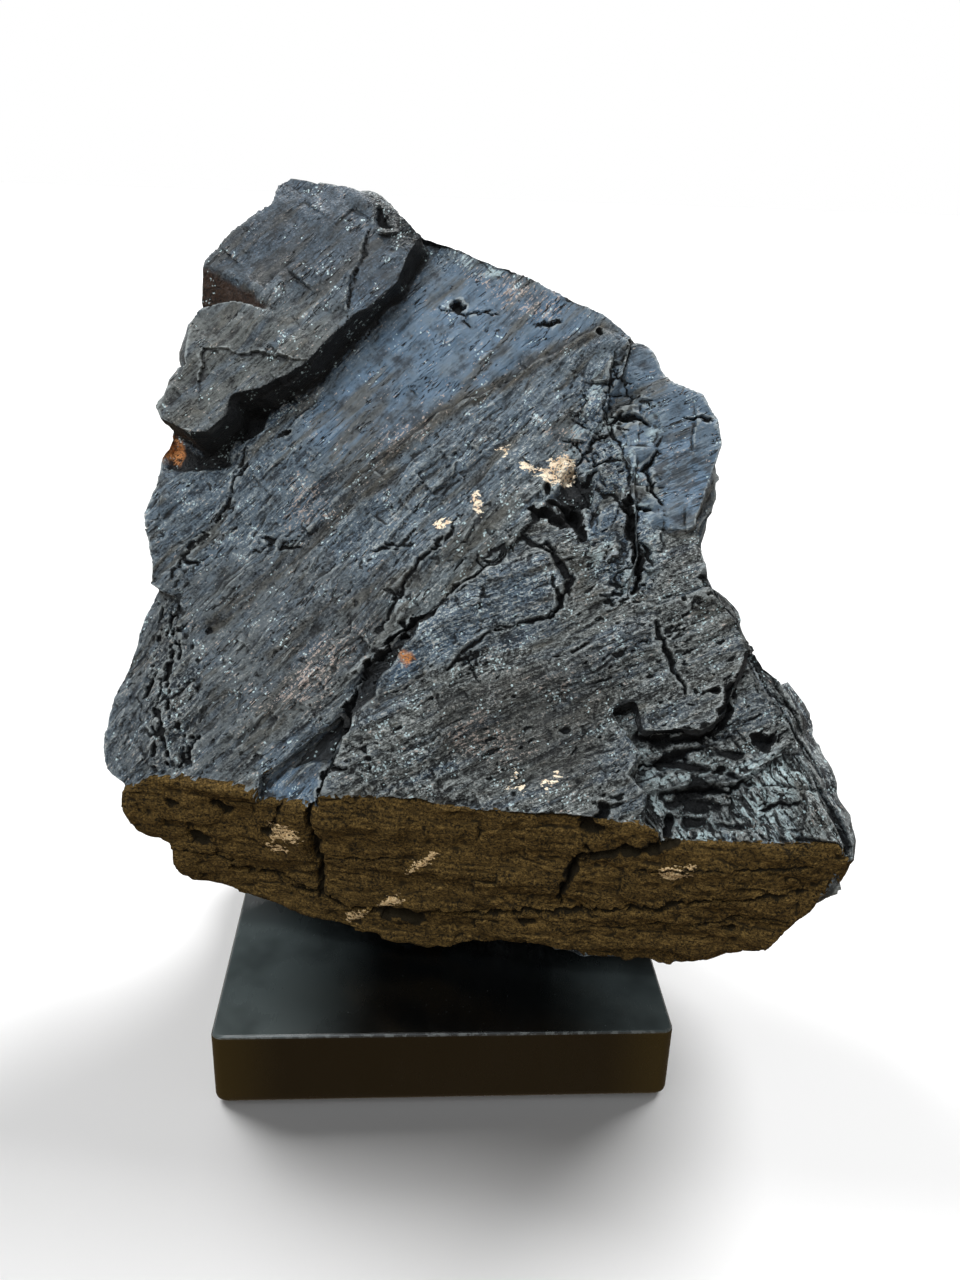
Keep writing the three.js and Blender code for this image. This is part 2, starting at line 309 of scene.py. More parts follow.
# The zones of the broad face: how wide the soft edge is, and the outlines.
BLUE_POCKET = [(-37, 31), (-32, 42), (-26, 50), (-15, 54), (-12, 44), (-22, 32), (-31, 26)]
FACE_ZONES = {
    "crumble": (8, [(28, 150), (40, 158), (56, 140), (60, 108), (58, 76), (46, 70), (34, 92), (20, 104),
                    (26, 122)]),
    "lobe": (3, [(46, 159), (44, 150), (38, 142), (40, 130), (49, 117), (50, 105), (56, 99), (66, 97),
                 (76, 103), (90, 106), (90, 150), (60, 175)]),
    "fibres": (3, FIBRE_ZONE),
    "bevel": (3, BEVEL_ZONE),
    "ledges": (3, [(56, 31), (66, 30), (76, 31), (84, 36), (94, 33), (96, 22), (80, 16), (66, 13),
                   (58, 18)]),
    "grains": (10, [(-35, 26), (-19, 29), (-5, 22), (4, 6), (44, 4), (44, -3), (-36, -4)]),
    "rough_edge": (8, [(-107, 62), (-99, 62), (-86, 30), (-82, 8), (-98, 3), (-107, 30)]),
    "calm": (14, [(-62, 138), (-28, 190), (20, 182), (36, 168), (15, 152), (-8, 136), (-30, 120),
                  (-48, 112), (-66, 120)]),
    "lens": (7, [(-33, 44), (-10, 66), (9, 81), (23, 86), (32, 80), (29, 68), (10, 62), (-3, 48),
                 (-20, 40)]),
    "pocket": (1.5, [(-41, 24), (-36, 31), (-33, 39), (-27, 48), (-23, 54), (-16, 58), (-23, 47),
                     (-27, 40), (-26, 34), (-32, 29), (-36, 25), (-40, 12), (-52, 10)]),
    "blue_pocket": (6, BLUE_POCKET),
    "blue_tint": (5, BLUE_POCKET),
    "hollow": (3, [(-91, 132), (-79, 135), (-77, 122), (-85, 117), (-91, 121)],
                  [(-111, 117), (-100, 113), (-88, 118), (-87, 110), (-97, 108), (-110, 106)]),
    "notch": (4, [(-62, 4), (-50, 16), (-38, 29), (-38, 19), (-42, 1), (-44, -6), (-62, -6)]),
    "plain": (5, [(107, 21), (116, 14), (120, 5), (109, 4), (105, 13)]),
    "olive": (14, [(-118, 66), (-60, 84), (-20, 62), (-35, 30), (-88, -5), (-118, 5)]),
    "dull": (14, [(-13, 38), (18, 50), (43, 59), (57, 44), (48, 33), (47, 8), (16, 8), (-7, 16)]),
    "facet": (3, [(56, 129), (67, 132), (76, 122), (75, 109), (66, 104), (60, 105), (55, 115)]),
    "torn_patches": (4, [(58, 30), (66, 29), (76, 30), (74, 27), (66, 26), (58, 27)],
                        [(66, 14), (84, 12), (92, 17), (91, 11), (76, 6), (66, 9)],
                        [(25, 119), (33, 121), (38, 112), (40, 102), (36, 94), (28, 98), (24, 106)]),
    "bright": (5, [(86, 24), (104, 28), (110, 15), (99, 3), (91, 7)],
                  [(71, 6), (79, 8), (86, 0), (85, -8), (71, -8)],
                  [(68, 22), (82, 26), (88, 22), (78, 17), (68, 17)]),
    "warm": (9, [(-15, 185), (20, 181), (21, 168), (0, 171)],
                [(-38, 123), (-17, 137), (-22, 122), (-35, 111)],
                [(-65, 105), (-49, 110), (-50, 92), (-66, 87)],
                [(19, 44), (36, 46), (38, 38)],
                [(-4, 24), (6, 34), (16, 30), (26, 22), (4, 16)],
                [(-50, 52), (-30, 60), (-44, 30), (-70, 24)],
                [(20, 128), (34, 132), (36, 120), (24, 118)]),
    "pale": (2, [(95, 28), (101, 31), (104, 29), (99, 25)],
                [(108, 22), (111, 22), (115, 14), (112, 13)],
                [(-20, 192), (-2, 190), (-2, 184), (-12, 185)]),
}

# How much of each mark the zones have at least. The dark in the hollow, the trough and the pocket is painted
# shade in these recesses. The blue is partly the stone's bluish grey and partly painted cool sheen.
ZONE_MARKS = {
    "blue": {"upper": 0.5, "calm": 0.95, "trough": 0.9, "facet": 0.9, "lobe": 0.75, "crumble": 0.75,
             "blue_tint": 0.9, "notch": 0.9, "lens": 0.6, "pocket": 1.0},
    "dark": {"dull": 0.5, "hollow": 1.0, "trough": 0.5, "pocket": 0.85},
    "brown": {"olive": 0.5, "dull": 0.65},
    "gloss": {"splintery": 1.0, "bevel": 1.0, "facet": 0.8},
    "grain": {"grains": 0.9, "rough_edge": 0.9, "fibres": 1.0, "bevel": 1.0, "crumble": 0.6},
    "warm": {"warm": 1.0},
    "pale": {"pale": 0.7},
}

# Bites out of the outline: the middle, the radius and the depth.
OUTLINE_BITES = [(60, 150, 6, 3.5), (75, 103, 6, 3.0), (111, 30, 11, 3.0), (120, 15, 7, 2.0),
                 (127, -4, 6, 2.0), (-115, 92, 6, 1.5), (-111, 72, 6, 1.5), (-113, 50, 7, 1.5)]
OUTLINE_MIDDLE = (5, 80)

# Rusty spots: the middle (u, v, w) and the radius.
RUST_SPOTS = [(-112, 112, -6, 8.5), (-18.5, 49, 0, 2.4), (115, 18, -14, 3)]

# Cream mineral on the face.
CREAM_PATCHES = [
    [(12, 116), (14, 117), (16, 115), (21, 116), (21, 119), (25, 121), (29, 120), (30, 115), (27, 111),
     (21, 111), (17, 114), (13, 114)],
    [(-3, 106), (-1, 106), (1, 102), (1, 98), (0, 98), (-3, 102)],
    [(-15, 94), (-12, 96), (-9, 96), (-9, 94), (-12, 92), (-14, 91)],
    [(3, 121), (6, 122), (7, 121), (6, 118), (5, 120)],
]
CREAM_DOTS = [(30, 13), (32, 12), (21, 14), (23, 10), (30, 10), (33, 15), (19, 10)]
CREAM_DOT_RADIUS = 0.7

# ---- What is on the block at the top left, in (u, v) ----

BLOCK_SEAM = [(-46, 192), (-47, 188), (-48, 180), (-49, 169), (-50, 161)]
BLOCK_FAULTS = [
    (BLOCK_SEAM, -1.4, 12),
    ([(-70, 172), (-72, 167), (-72, 162)], -1.2, 8),
]
BLOCK_CRACKS = [
    (BLOCK_SEAM, 0.4, 0.8),
    ([(-44, 201), (-42, 197), (-38, 194)], 2.2, 3.0),
]
BLOCK_FACET = [(-46, 190), (-38, 176), (-36, 170), (-48, 160), (-49, 170)]
BLOCK_SCOOP = [(-125, 156), (-101, 158), (-95, 161.5), (-90, 162.5), (-72, 159), (-69, 161.5), (-84, 171),
               (-101, 178), (-125, 190)]
BLOCK_CORNER = [(-52, 214), (-44, 196), (-38, 186), (-26, 190), (-30, 204)]

# ---- What is on the lower end, in (u, s), where s runs down it from the crease ----

END_CRACKS = [
    ([(-42, -6), (-44, 1), (-46, 8), (-46, 12), (-44, 21), (-44, 32), (-46, 43)], 1.6, 3.8),
    ([(-54, -4), (-56, 8), (-60, 17)], 0.8, 1.6),
    ([(-92, 31), (-79, 32), (-73, 37), (-67, 39), (-57, 40), (-47, 44), (-38, 49), (-29, 52), (-17, 49),
      (-4, 49), (10, 46), (24, 42), (37, 41), (50, 37), (63, 34), (75, 30), (91, 26), (106, 22),
      (115, 19)], 1.3, 2.6),
    ([(-75, 37), (-69, 39)], 2.0, 4.0),
    ([(-24, 52), (-16, 50), (-9, 53)], 3.4, 5.5),
    ([(-56, 44), (-46, 44)], 1.8, 3.0),
    ([(72, 4), (61, 8), (48, 12), (42, 15)], 2.4, 5.0),
    ([(48, 12), (42, 16), (40, 22), (38, 28), (36, 34)], 1.7, 5.0),
    ([(51, 45), (70, 42), (83, 39), (95, 35), (110, 32)], 0.7, 1.4),
    ([(55, 19), (74, 14), (92, 13), (115, 8)], 0.6, 1.0),
    ([(-44, 28), (-26, 25), (-16, 22)], 0.6, 1.2),
]
END_PITS = [
    (-75, 9, 4.0, 2.4, 20, 3.0),
    (-60, 16, 2.0, 1.5, 0, 2.0),
    (-92, 8, 3.0, 1.4, 10, 2.0),
    (-84, 24, 4.0, 3.0, 40, 2.2),
    (92, 40, 3.5, 1.4, -10, 2.5),
    (26, 46, 3.0, 1.2, 0, 2.2),
    (46, 2, 4.5, 2.5, 0, 3.5),
]
END_CREAM = [
    [(-59, 13), (-53, 13), (-49, 18), (-52, 20), (-58, 19)],
    [(-61, 21), (-55, 23), (-54, 26), (-60, 24)],
    [(-37, 54), (-34, 52), (-29, 52), (-32, 57), (-36, 59)],
    [(-25, 47), (-20, 41), (-16, 42), (-21, 47)],
    [(-15, 30), (-11, 23), (-5, 19), (-8, 25)],
    [(67, 15), (72, 13), (78, 12), (77, 16), (72, 19), (68, 18)],
]

# ---- Carving ----

# What the materials read at each vertex, and where each mark starts. For cracks and cream patches it is how
# many millimetres inside one the vertex lies, below 0 outside. The others go from 0 to 1.
FAR_OUTSIDE = -3.0
MARKS = {"crack": FAR_OUTSIDE, "cream": FAR_OUTSIDE, "dark": 0.0, "brown": 0.0, "blue": 0.0, "rust": 0.0,
         "warm_lit_end": 0.0, "grain": 0.0, "gloss": 0.0, "warm": 0.0, "pale": 0.0}

# The direction of the grain, in degrees from u: left and right of the shear line, and in the corner.
LEFT_GRAIN = 50
RIGHT_GRAIN = 29
CORNER_GRAIN = -54

# Out of the broad face, in its own frame.
OUTWARD = np.array([0.0, 0.0, 1.0])


def to_face(points):
    """From places in the scene to (u, v, w) in millimetres."""
    return (points / MM - CREASE_MIDDLE) @ FACE_AXES.T


def from_face(points):
    return (points @ FACE_AXES + CREASE_MIDDLE) * MM


def wobble(points, spacing, amount, seed):
    """A smooth random shift of each point."""
    return amount * np.stack([noise(points / spacing, seed + axis) for axis in range(3)], 1)


def flow(points):
    """Coordinates along and across the stone's grain and out of the face. The grain turns at the shear line
    and in the splintered corner."""
    u, v, w = points.T
    distance, side, _ = line_field(u, v, SHEAR_LINE)
    right = ease(-side * distance, -0.4, 0.4)
    corner = np.maximum(inside(u, v, FIBRE_ZONE, 0.8), inside(u, v, BEVEL_ZONE, 0.8))
    along = 0
    across = 1.8 * noise(points / 45, 3)
    left_share = (1 - right) * (1 - corner)
    right_share = right * (1 - corner)
    for share, degrees in ((left_share, LEFT_GRAIN), (right_share, RIGHT_GRAIN), (corner, CORNER_GRAIN)):
        x, y = turned(u, v, math.radians(degrees))
        along = along + share * x
        across = across + share * y
    return np.stack([along, across, w], 1), right


def raise_to(values, least):
    """Lifts values, in place, to at least those given."""
    np.maximum(values, least, out=values)


def side_cracks(cracks, seed):
    """Short cracks that branch off the given ones."""
    dice = np.random.default_rng(seed)
    made = []
    for line, half_width, depth in cracks:
        for (ax, ay), (bx, by) in zip(line[:-1], line[1:]):
            if dice.random() < 0.2:
                start = dice.random()
                x, y = ax + start * (bx - ax), ay + start * (by - ay)
                heading = math.atan2(by - ay, bx - ax) + dice.choice([-1, 1]) * dice.uniform(0.5, 1.3)
                branch = [(x, y)]
                for _ in range(dice.integers(2, 4)):
                    heading += dice.uniform(-0.6, 0.6)
                    reach = dice.uniform(1.5, 3.5)
                    x, y = x + reach * math.cos(heading), y + reach * math.sin(heading)
                    branch.append((x, y))
                made.append((branch, 0.4 * half_width, 0.5 * depth))
    return made


def cut_lines(x, y, points, cracks, lift, crack):
    """Cuts each open crack, and keeps how far inside the nearest one each point lies."""
    _, _, jump_x, jump_y = cells(points / 3.4, 15)
    jagged = wobble(points, 1.5, 0.4, 18)
    x = x + jagged[:, 0] + 1.5 * (jump_x - 0.5)
    y = y + jagged[:, 1] + 1.5 * (jump_y - 0.5)
    uneven = 1 + 0.9 * noise(points / 3.6, 19)
    for line, half_width, depth in cracks + side_cracks(cracks, len(cracks)):
        distance, _, along = line_field(x, y, line)
        taper = np.sqrt(np.clip(4 * along * (1 - along), 0, 1))
        width = half_width * (0.3 + 0.7 * taper) * np.clip(uneven, 0.2, 1.8)
        lift -= depth * (0.25 + 0.75 * taper) * ease(1 - distance / (0.8 * width + 0.3), 0, 0.9)
        core = 0.9 if depth > WIDE_CRACK_DEPTH else 0.4
        raise_to(crack, core * width - distance)


def random_nicks(points, size, seed):
    """Small ragged nicks at random: 1 inside them and 0 outside. They come in groups."""
    ragged = noise(points / size, seed) + 0.6 * noise(points / (0.4 * size), seed + 1)
    return ease(ragged + 0.35 * noise(points / (5 * size), seed + 2), 0.85, 1.0)


def drop_faults(x, y, faults, lift):
    """Drops the ground on the right of each fault."""
    for line, drop, fade in faults:
        distance, side, along = line_field(x, y, line)
        taper = np.sqrt(np.clip(4 * along * (1 - along), 0, 1))
        lift -= drop * taper * ease(-side * distance, -0.5, 0.6) * np.exp(-distance / fade)


def sink_pits(x, y, points, pits, lift, crack):
    """Sinks each pit, and marks it as open to the dark."""
    uneven = 0.45 * layered_noise(points / 2.2, 17)
    for middle_x, middle_y, half_length, half_width, turn, depth in pits:
        along, across = turned(x - middle_x, y - middle_y, math.radians(turn))
        reach = np.hypot(along / half_length, across / half_width) + uneven
        lift -= depth * ease(1 - reach, -0.15, 0.5)
        raise_to(crack, (0.85 - reach) * half_width)


def splinters(points, along, across, length, width, seed):
    """Broken columns: long cells, each with its own height, and the gaps between them."""
    stretched = np.stack([along / length, across / width, points[:, 2] / length], 1)
    first, second, height, _ = cells(stretched, seed)
    return height - 0.5, ease(0.28 - (second - first), 0, 0.28)


def mark_cream(x, y, outline, cream):
    """Keeps how far inside the nearest cream patch each point lies."""
    distance, _, _ = line_field(x, y, [*outline, outline[0]])
    within = inside(x, y, outline, 0.2)
    raise_to(cream, distance * (2 * within - 1))


def face_zones(points, x, y, grain, right):
    """How far each point is in each zone of the broad face, from 0 to 1."""
    zone = {"right": right, "upper": ease(grain[:, 1], 45, 75) * (1 - right)}
    for name, (soft, *outlines) in FACE_ZONES.items():
        zone[name] = np.maximum.reduce([inside(x, y, outline, soft) for outline in outlines])
    zone["trough"] = np.exp(-(line_field(x, y, CLIFF)[0] / 9) ** 2)
    zone["splintery"] = np.maximum(zone["fibres"], 0.8 * zone["ledges"]) * (1 - zone["plain"])
    torn = (1 - zone["crumble"]) * ease(layered_noise(points / (11, 4.5, 5), 48), 0.25, 0.6)
    zone["torn"] = np.maximum(torn, zone["torn_patches"] * ease(noise(points / 3, 52), -0.5, 0.2))
    return zone


def grain_relief(points, bent, zone):
    """Broad waves, long steps along the grain, and chips of two sizes."""
    calm = zone["calm"]
    smooth = 1 - np.maximum.reduce([zone[name] for name in ("crumble", "lobe", "fibres", "bevel")])
    lift = 1.2 * noise(points / 42, 21) + 0.6 * noise(points / 17, 22)
    long_steps = noise(bent / (60, 8, 10), 25) + 0.6 * noise(bent / (34, 4, 6), 26)
    lift += smooth * (1 - 0.6 * calm) * terrace(1.4 * long_steps, 0.7, 0.2)
    rough = ease(noise(points / 16, 27), -0.6, 0.6) * (1 - 0.8 * calm)
    lift += smooth * (0.35 + 0.9 * rough) * chipping(bent / (10, 3.8, 5), 28)
    lift += (0.15 + 0.45 * rough) * (1 - 0.6 * zone["lobe"]) * chipping(bent / (3.8, 1.8, 2.3), 31)
    return lift + 0.15 * layered_noise(points / 1.9, 35)


def sink_hollows(zone, lift):
    """The broad hollows of the face, and the swelling of the fold between them."""
    lift -= 2.5 * zone["trough"]
    lift += 1.3 * zone["lens"]
    lift -= 2.0 * zone["blue_pocket"] + 2.0 * zone["pocket"]
    lift -= 3.5 * zone["hollow"]
    lift -= 2.5 * zone["notch"]


def crumble_face(points, shattered, zone, lift, crack):
    """The crumbled zone at the upper right: tilted pieces of several sizes, with open joints."""
    crumble = zone["crumble"]
    pieces, crease = facets(shattered / (10, 7, 9), 42, 1.2)
    broken = ease(noise(points / 8, 44), -0.1, 0.3)
    lift += crumble * (3.6 * (pieces - 0.736) - broken * ease(0.05 - crease, 0, 0.05) - 4.0 * zone["torn"])
    lift += 1.2 * crumble * blocky(shattered / (7, 6, 7), 40)
    lift += 0.5 * crumble * chipping(shattered / 3.4, 39)
    raise_to(crack, np.where(crumble * broken > 0.4, 0.1 - 14 * crease, FAR_OUTSIDE))


def nick_face(bent, zone, lift, crack):
    """Small nicks along the grain, most of them in the rough zones."""
    lobe = zone["lobe"]
    share = np.maximum.reduce([
        0.5 * zone["crumble"], 0.8 * zone["right"] * (1 - lobe), 0.7 * zone["rough_edge"], zone["grains"],
        0.4 * (1 - zone["calm"]),
    ])
    share = share * (1 - lobe) * (1 - 0.8 * zone["lens"])
    nicks = share * random_nicks(bent / (1.9, 0.75, 1.0), 2.3, 36)
    lift -= 1.6 * nicks
    raise_to(crack, 1.6 * nicks - 1.3)


def splinter_corner(points, ragged, zone, lift):
    """Short splinters and plates in the lower right corner, and long splinters on the bevel above it."""
    along, across = turned(ragged[:, 0], ragged[:, 1], math.radians(CORNER_GRAIN))
    height, gap = splinters(points, along, across, 9, 2.0, 45)
    lift += zone["splintery"] * (1.5 * height - 0.7 * gap - 3.2 * zone["torn"])
    lift += np.maximum(zone["fibres"], 0.6 * zone["ledges"]) * 4.2 * chipping(ragged / (11, 5.5, 9), 46)
    height, gap = splinters(points, along, across, 26, 2.3, 47)
    lift += zone["bevel"] * (3.2 * height - 1.8 * gap)


def gnaw_edges(points, ragged, zone, lift, crack):
    """Grains above the crease, blocks and holes at the left edge, and open gaps in the splintered corner."""
    lift += 0.9 * zone["grains"] * blocky(ragged / 2.4, 49)
    lift += 0.7 * zone["rough_edge"] * blocky(ragged / (4, 6, 6), 50)
    gnawed = zone["rough_edge"] * ease(layered_noise(points / (2.4, 3.2, 2), 57), 0.42, 0.55)
    lift -= 2.4 * gnawed
    gaps = np.maximum(gnawed, zone["splintery"] * ease(zone["torn"], 0.6, 1.0))
    raise_to(crack, 1.6 * gaps - 1.2)


def mark_face(points, x, y, zone, marks):
    """What colours the broad face."""
    # The pale flecks on the splinters and crumbs are partly pale crystal and partly painted highlight.
    bright = np.maximum(0.6 * ease(noise(points / 8, 56), 0.0, 0.35), zone["bright"])
    crumbs = 0.5 * zone["crumble"] * ease(noise(points / 5, 53), 0.1, 0.5)
    marks["pale"][:] = np.maximum(zone["splintery"] * bright, crumbs) * (1 - zone["torn"])
    # Painted shade: the sunken torn patches among the splinters and crumbs are darkened.
    marks["dark"][:] = np.maximum(zone["splintery"], zone["crumble"]) * zone["torn"]
    for line, half_width, strength in BROWN_BANDS:
        distance, _, _ = line_field(x, y, line)
        band = strength * ease(half_width * 1.4 - distance, 0, half_width * 0.9)
        raise_to(marks["brown"], band)
        # Painted shade: the bands are also darkened, for the shade below the fault's edge; their brown is the
        # stone's own.
        raise_to(marks["dark"], 0.5 * band)
    dusky = 0.4 * zone["right"] * (1 - zone["lens"]) * (1 - zone["crumble"]) * (1 - zone["lobe"])
    raise_to(marks["brown"], dusky)
    for mark, shares in ZONE_MARKS.items():
        for name, share in shares.items():
            raise_to(marks[mark], share * zone[name])
    raise_to(marks["grain"], 0.35 + 0.2 * noise(points / 14, 55) + 0.4 * zone["right"])
    raise_to(marks["grain"], 0.35 + 0.4 * zone["trough"])
    marks["grain"][:] = marks["grain"] * (1 - 0.8 * zone["calm"]) * (1 - 0.9 * zone["lobe"])
    for outline in CREAM_PATCHES:
        mark_cream(x, y, outline, marks["cream"])
    for middle_u, middle_v in CREAM_DOTS:
        reach = np.hypot(points[:, 0] - middle_u, points[:, 1] - middle_v)
        raise_to(marks["cream"], CREAM_DOT_RADIUS - reach)


def carve_slab(points, marks):
    """How far the broad face stands out or in, and what is marked on it."""
    grain, right = flow(points)
    bent = grain + wobble(points, 7, 0.9, 23)
    ragged = points + wobble(points, 6, 0.8, 11) + wobble(points, 2.2, 0.35, 14)
    shattered = points + wobble(points, 5, 0.7, 41) + wobble(points, 1.6, 0.25, 38)
    x, y = ragged[:, 0], ragged[:, 1]
    zone = face_zones(points, x, y, grain, right)
    lift = grain_relief(points, bent, zone)
    sink_hollows(zone, lift)
    drop_faults(x, y, FACE_FAULTS, lift)
    cut_lines(x, y, points, FACE_CRACKS + LEDGE_GAPS, lift, marks["crack"])
    sink_pits(x, y, points, FACE_PITS, lift, marks["crack"])
    crumble_face(points, shattered, zone, lift, marks["crack"])
    nick_face(bent, zone, lift, marks["crack"])
    lift += 3.4 * zone["lobe"] * chipping(shattered / (17, 17, 20), 43, 1.0, 0.46)
    splinter_corner(points, ragged, zone, lift)
    gnaw_edges(points, ragged, zone, lift, marks["crack"])
    mark_face(points, x, y, zone, marks)
    return lift


def carve_block(points, marks):
    """The same for the top of the block at the top left."""
    ragged = points + wobble(points, 6, 0.8, 61) + wobble(points, 2.2, 0.35, 64)
    x, y = ragged[:, 0], ragged[:, 1]
    facet = inside(x, y, BLOCK_FACET, 3)
    corner = inside(x, y, BLOCK_CORNER, 5)
    lift = 1.2 * noise(points / 30, 65) + 0.5 * noise(points / 12, 66)
    grain, _ = flow(points)
    bent = grain + wobble(points, 7, 0.9, 70)
    lift += 1.1 * (1 - 0.6 * facet) * chipping(bent / (11, 8, 8), 67)
    lift += 0.4 * chipping(bent / (3.4, 2.6, 2.6), 62)
    lift += 0.2 * layered_noise(points / 2.2, 68)
    lift += 2.2 * chipping(ragged / 24, 63, 0.9, 0.3) * (1 - corner)
    lift += corner * 3.0 * chipping(ragged / 6, 69, usual=1.1)
    drop_faults(x, y, BLOCK_FAULTS, lift)
    cut_lines(x, y, points, BLOCK_CRACKS, lift, marks["crack"])
    # The blue on the facet and towards the top is partly painted cool sheen. The darker tone all over and
    # towards the top is painted shade; the corner is also darker.
    marks["blue"][:] = np.maximum(0.9 * facet, 0.8 * ease(y, 150, 180))
    marks["brown"][:] = np.maximum(0.45 * ease(-y, -172, -150), 0.6 * corner)
    marks["gloss"][:] = 0.6 * facet
    marks["dark"][:] = np.maximum(0.2 + 0.4 * ease(y, 150, 175), 0.5 * corner)
    marks["grain"][:] = np.maximum(0.15 + 0.15 * ease(-y, -160, -140), 0.9 * corner)
    return lift


def carve_end(points, marks):
    """The same for the lower end. Its outward side is away from the stone."""
    ragged = points + wobble(points, 6, 0.8, 71) + wobble(points, 2.0, 0.4, 74)
    x, y = ragged[:, 0], ragged @ DOWN_END
    flat = np.stack([points[:, 0], points @ DOWN_END, points[:, 2] * 0.3], 1)
    lift = 1.2 * noise(points / 34, 77) + 0.6 * noise(points / 12, 78)
    lift += terrace(1.6 * layered_noise(flat / (34, 9, 8), 79), 0.7, 0.3)
    chips = chipping((flat + wobble(points, 6, 1.4, 84)) / (8, 5, 4), 87)
    lift += chips + 0.35 * layered_noise(points / 2.4, 81, 0.6)
    cut_lines(x, y, points, END_CRACKS, lift, marks["crack"])
    sink_pits(x, y, points, END_PITS, lift, marks["crack"])
    for outline in END_CREAM:
        mark_cream(x, y, outline, marks["cream"])
        lift += 0.4 * inside(x, y, outline, 1.5)
    # The whole lower end takes the brown material: painted warm light.
    marks["warm_lit_end"][:] = 1.0
    return lift


def mark_broken(points, normals, marks):
    """What colours the broken sides and the back."""
    marks["brown"][:] = 0.5 * ease(noise(points / 30, 105), 0.0, 0.6)
    marks["blue"][:] = 0.5 * ease(noise(points / 26, 108), 0.0, 0.5)
    marks["grain"][:] = 0.3 + 0.6 * ease(noise(points / 22, 106), -0.3, 0.4)
    marks["gloss"][:] = 0.5 * ease(noise(points / 18, 107), 0.1, 0.5)
    # Broken sides facing down beside the lower end take its brown too: painted warm light.
    marks["warm_lit_end"][:] = ease(normals @ DOWN_END, 0.2, 0.5) * ease(points @ OUT_OF_END, -9, -6)
    beside_bevel = inside(points[:, 0], points[:, 1], BEVEL_ZONE, 3) * ease(points[:, 2], -45, -25)
    raise_to(marks["dark"], 0.4 * beside_bevel)
    raise_to(marks["grain"], beside_bevel)
    raise_to(marks["gloss"], beside_bevel)


def carve_broken(points, normals, marks):
    """The same for the broken sides and the back, where the stone's layers show."""
    u, v, w = points.T
    bent = points + wobble(points, 14, 2.4, 91) + wobble(points, 4, 0.6, 92)
    grain, _ = flow(bent)
    near_cliff = ease(12 - line_field(u, v, CLIFF)[0], 0, 4) * ease(w, -10, -5)
    under_step = ease(5 - line_field(u, v, STEP_EDGE)[0], 0, 2) * ease(w, -16, -12)
    edgewise = ease(1 - np.abs(normals[:, 2]), 0.4, 0.75) * (1 - 0.85 * near_cliff)
    layer = w / 7.5 + 0.9 * noise(points / 45, 96) + 0.25 * noise(points / 12, 97)
    below = np.floor(layer)
    seam = np.minimum(layer - below, 1 - layer + below)
    seam += 0.1 * ease(noise(points / 14, 99), 0.1, -0.1)
    strata = layered_noise(bent / (30, 30, 4), 98)
    chipped = 0.2 + 1.2 * ease(noise(points / 12, 100), -0.2, 0.4)
    lift = 6.0 * chipping(bent / (34, 34, 24), 94, 1.2, 0.85)
    lift += 2.8 * chipping(bent / (19, 15, 10), 95, usual=0.95)
    lift += chipped * chipping((grain + wobble(points, 3, 0.6, 101)) / (5, 4, 3), 93)
    lift += edgewise * (2.2 * strata - 0.9 * ease(0.07 - seam, 0, 0.07))
    lift *= 1 - 0.7 * near_cliff
    lift += 0.4 * layered_noise(points / 3, 102)
    marks["crack"][:] = np.where(seam < 0.04, 0.3, FAR_OUTSIDE) * edgewise + FAR_OUTSIDE * (1 - edgewise)
    # Painted shade: the walls below the cliff and below the step are darkened.
    marks["dark"][:] = np.maximum(near_cliff, under_step)
    mark_broken(points, normals, marks)
    return lift


def spread(values, links, rounds):
    """Smooths values over the mesh: each round, a vertex takes the average of itself and its neighbours."""
    first, second = links.T
    count = 1 + np.bincount(first, minlength=len(values)) + np.bincount(second, minlength=len(values))
    for _ in range(rounds):
        total = values + np.bincount(first, values[second], len(values))
        total += np.bincount(second, values[first], len(values))
        values = total / count
    return values


def mark_places(points, marks):
    """Marks that lie across several of the stone's faces."""
    u, v, w = points.T
    # Painted shade: the scoop under the block's upper plate is darkened, with a little rust.
    block_top = 13 - 0.05 * (u + 70) - 0.05 * (v - 160)
    scoop = inside(u, v, BLOCK_SCOOP, 1.0) * ease(block_top - w, 0.8, 2.0) * ease(w, -4, 0)
    raise_to(marks["dark"], scoop)
    marks["rust"] += 0.05 * scoop
    ragged = 0.5 * layered_noise(points / 4, 120)
    for *middle, radius in RUST_SPOTS:
        reach = np.linalg.norm(points - middle, axis=1) / radius + ragged
        marks["rust"] += ease(1 - reach, 0, 0.3)


def bite_outline(points):
    """How far each point moves towards the middle of the broad face where the outline has a bite."""
    from_middle = points[:, :2] - OUTLINE_MIDDLE
    inward = -from_middle / np.linalg.norm(from_middle, axis=1)[:, None]
    depth = np.zeros(len(points))
    for middle_u, middle_v, radius, bite in OUTLINE_BITES:
        reach = np.hypot(points[:, 0] - middle_u, points[:, 1] - middle_v) / radius
        depth += bite * np.exp(-reach**2)
    depth *= ease(points[:, 2], -45, -20)
    return np.column_stack([inward * depth[:, None], np.zeros(len(points))])


